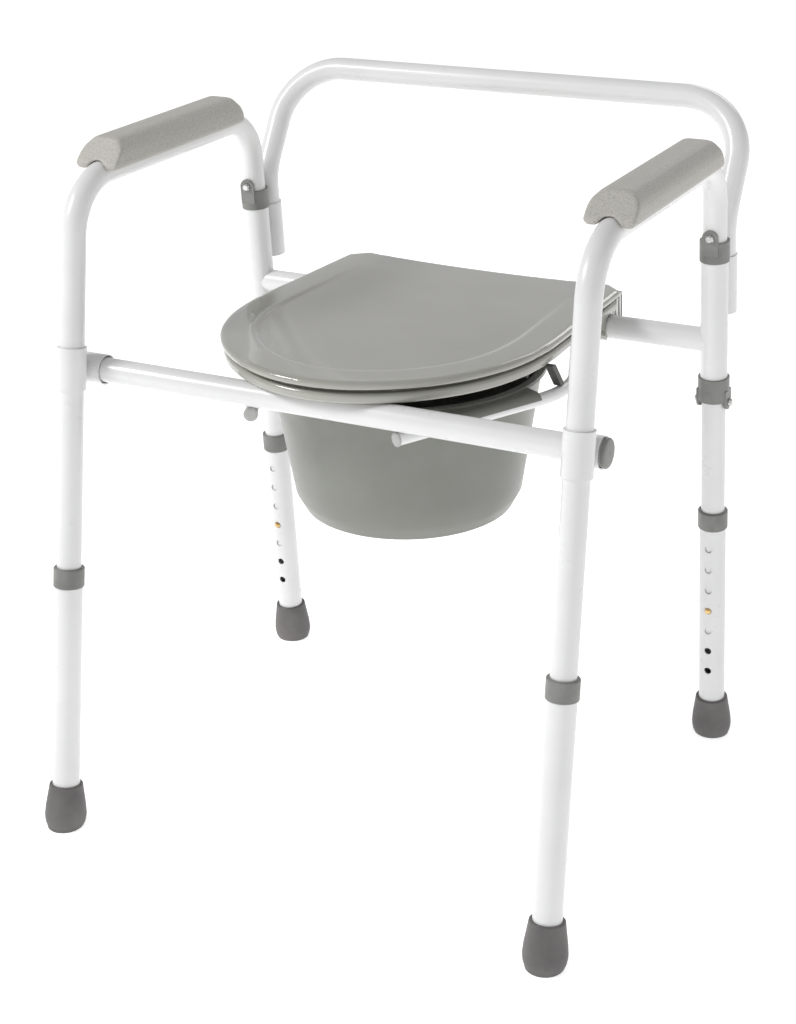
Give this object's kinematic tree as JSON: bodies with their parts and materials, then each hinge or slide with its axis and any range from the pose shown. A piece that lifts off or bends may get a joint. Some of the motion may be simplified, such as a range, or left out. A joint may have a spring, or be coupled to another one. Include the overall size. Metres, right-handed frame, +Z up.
{
  "type": "commode chair",
  "caption": "Folding steel commode chair with height-adjustable legs, padded arms, backrest hoop, hinged seat and lid, and a lift-out bucket.",
  "frame": {"origin": "on the floor below the middle of the chair's overall box", "axes": "+Z up, the chair faces -Y, +X to the right of a person who faces the chair's front"},
  "size_m": [0.601, 0.5623, 0.726],
  "materials": {
    "white_paint": "glossy powder coat",
    "pad_foam": "grained polyurethane",
    "zinc": "zinc plated",
    "spring_steel": "spring steel",
    "grey_collar": "satin moulded plastic",
    "tip_rubber": "moulded rubber",
    "brass_button": "polished",
    "light_plug": "satin moulded plastic",
    "seat_plastic": "glossy moulded plastic",
    "dark_bumper": "dark moulded plastic",
    "bucket_plastic": "satin moulded plastic"
  },
  "bodies": {
    "rear_frame": {"hinge_sleeve_left": "white_paint", "hinge_sleeve_right": "white_paint", "backrest_socket_left": "white_paint", "backrest_socket_right": "white_paint", "rear_crossbar": "white_paint", "bucket_rail_left": "white_paint", "bucket_rail_right": "white_paint", "rail_plugs": "light_plug"},
    "front_bar": {"front_crossbar": "white_paint", "crossbar_plugs": "grey_collar"},
    "hoop": {"backrest_hoop": "white_paint"},
    "seat": {"seat_ring": "seat_plastic", "seat_bumpers": "dark_bumper"},
    "lid": {"seat_lid": "seat_plastic", "lid_buffers": "dark_bumper"},
    "pail": {"bucket": "bucket_plastic"},
    "pail_handle": {"bucket_handle": "bucket_plastic"},
    "left_side": {"side_frame_left": "white_paint", "arm_pad_left": "pad_foam", "button_springs_left": "spring_steel", "upper_collar_left": "grey_collar", "lower_collar_left": "grey_collar", "collar_screws_left": "zinc"},
    "left_fitting": {"t_fitting_left": "white_paint"},
    "front_left_extension": {"leg_extension_front_left": "white_paint", "extension_collar_front_left": "grey_collar", "foot_tip_front_left": "tip_rubber"},
    "front_left_button": {"snap_button_front_left": "brass_button"},
    "rear_left_extension": {"leg_extension_rear_left": "white_paint", "extension_collar_rear_left": "grey_collar", "foot_tip_rear_left": "tip_rubber"},
    "rear_left_button": {"snap_button_rear_left": "brass_button"},
    "right_side": {"side_frame_right": "white_paint", "arm_pad_right": "pad_foam", "button_springs_right": "spring_steel", "upper_collar_right": "grey_collar", "lower_collar_right": "grey_collar", "collar_screws_right": "zinc"},
    "right_fitting": {"t_fitting_right": "white_paint"},
    "front_right_extension": {"leg_extension_front_right": "white_paint", "extension_collar_front_right": "grey_collar", "foot_tip_front_right": "tip_rubber"},
    "front_right_button": {"snap_button_front_right": "brass_button"},
    "rear_right_extension": {"leg_extension_rear_right": "white_paint", "extension_collar_rear_right": "grey_collar", "foot_tip_rear_right": "tip_rubber"},
    "rear_right_button": {"snap_button_rear_right": "brass_button"}
  },
  "joints": [
    {"name": "left_side_fold", "type": "hinge", "parent": "rear_frame", "child": "left_side", "pos_m": [-0.2755, 0.17843, 0.4774], "axis": [0, -0.0678, 0.9977], "range_deg": [-10, 10]},
    {"name": "left_fitting_swivel", "type": "hinge", "parent": "left_side", "child": "left_fitting", "pos_m": [-0.2755, -0.18842, 0.4797], "axis": [0, 0.1502, 0.9887], "range_deg": [-10, 10]},
    {"name": "front_left_leg_height", "type": "slide", "parent": "left_side", "child": "front_left_extension", "axis": [0, -0.1502, -0.9887], "range_m": [-0.0762, 0.0762]},
    {"name": "front_left_button_press", "type": "slide", "parent": "left_side", "child": "front_left_button", "axis": [0, -0.9887, 0.1502], "range_m": [0, 0.004], "stiffness_N_per_m": 800, "springref_m": -0.001},
    {"name": "rear_left_leg_height", "type": "slide", "parent": "left_side", "child": "rear_left_extension", "axis": [0, 0.0678, -0.9977], "range_m": [-0.0762, 0.0762]},
    {"name": "rear_left_button_press", "type": "slide", "parent": "left_side", "child": "rear_left_button", "axis": [0, 0.9977, 0.0678], "range_m": [0, 0.004], "stiffness_N_per_m": 800, "springref_m": -0.001},
    {"name": "right_side_fold", "type": "hinge", "parent": "rear_frame", "child": "right_side", "pos_m": [0.2755, 0.17843, 0.4774], "axis": [0, -0.0678, 0.9977], "range_deg": [-10, 10]},
    {"name": "right_fitting_swivel", "type": "hinge", "parent": "right_side", "child": "right_fitting", "pos_m": [0.2755, -0.18842, 0.4797], "axis": [0, 0.1502, 0.9887], "range_deg": [-10, 10]},
    {"name": "front_right_leg_height", "type": "slide", "parent": "right_side", "child": "front_right_extension", "axis": [0, -0.1502, -0.9887], "range_m": [-0.0762, 0.0762]},
    {"name": "front_right_button_press", "type": "slide", "parent": "right_side", "child": "front_right_button", "axis": [0, -0.9887, 0.1502], "range_m": [0, 0.004], "stiffness_N_per_m": 800, "springref_m": -0.001},
    {"name": "rear_right_leg_height", "type": "slide", "parent": "right_side", "child": "rear_right_extension", "axis": [0, 0.0678, -0.9977], "range_m": [-0.0762, 0.0762]},
    {"name": "rear_right_button_press", "type": "slide", "parent": "right_side", "child": "rear_right_button", "axis": [0, 0.9977, 0.0678], "range_m": [0, 0.004], "stiffness_N_per_m": 800, "springref_m": -0.001},
    {"name": "front_bar_swing", "type": "hinge", "parent": "left_side", "child": "front_bar", "pos_m": [-0.2755, -0.18842, 0.4797], "axis": [0, -0.0678, 0.9977], "range_deg": [-10, 10]},
    {"name": "seat_lift", "type": "hinge", "parent": "rear_frame", "child": "seat", "pos_m": [0, 0.17843, 0.4774], "axis": [1, 0, 0], "range_deg": [-95, 0]},
    {"name": "lid_lift", "type": "hinge", "parent": "seat", "child": "lid", "pos_m": [0, 0.17843, 0.4774], "axis": [-1, 0, 0], "range_deg": [0, 95]},
    {"name": "hoop_lift_out", "type": "slide", "parent": "rear_frame", "child": "hoop", "axis": [0, -0.0678, 0.9977], "range_m": [0, 0.08]},
    {"name": "bucket_lift", "type": "slide", "parent": "rear_frame", "child": "pail", "axis": [0, 0, 1], "range_m": [0, 0.008]},
    {"name": "bucket_handle_swing", "type": "hinge", "parent": "pail", "child": "pail_handle", "pos_m": [0, 0.01229, 0.4746], "axis": [1, 0, 0], "range_deg": [0, 2.5]}
  ],
  "couplings": [
    {"joint": "right_side_fold", "follows": "left_side_fold", "ratio": 1},
    {"joint": "left_fitting_swivel", "follows": "left_side_fold", "ratio": -1},
    {"joint": "right_fitting_swivel", "follows": "left_side_fold", "ratio": -1},
    {"joint": "front_bar_swing", "follows": "left_side_fold", "ratio": -1}
  ]
}
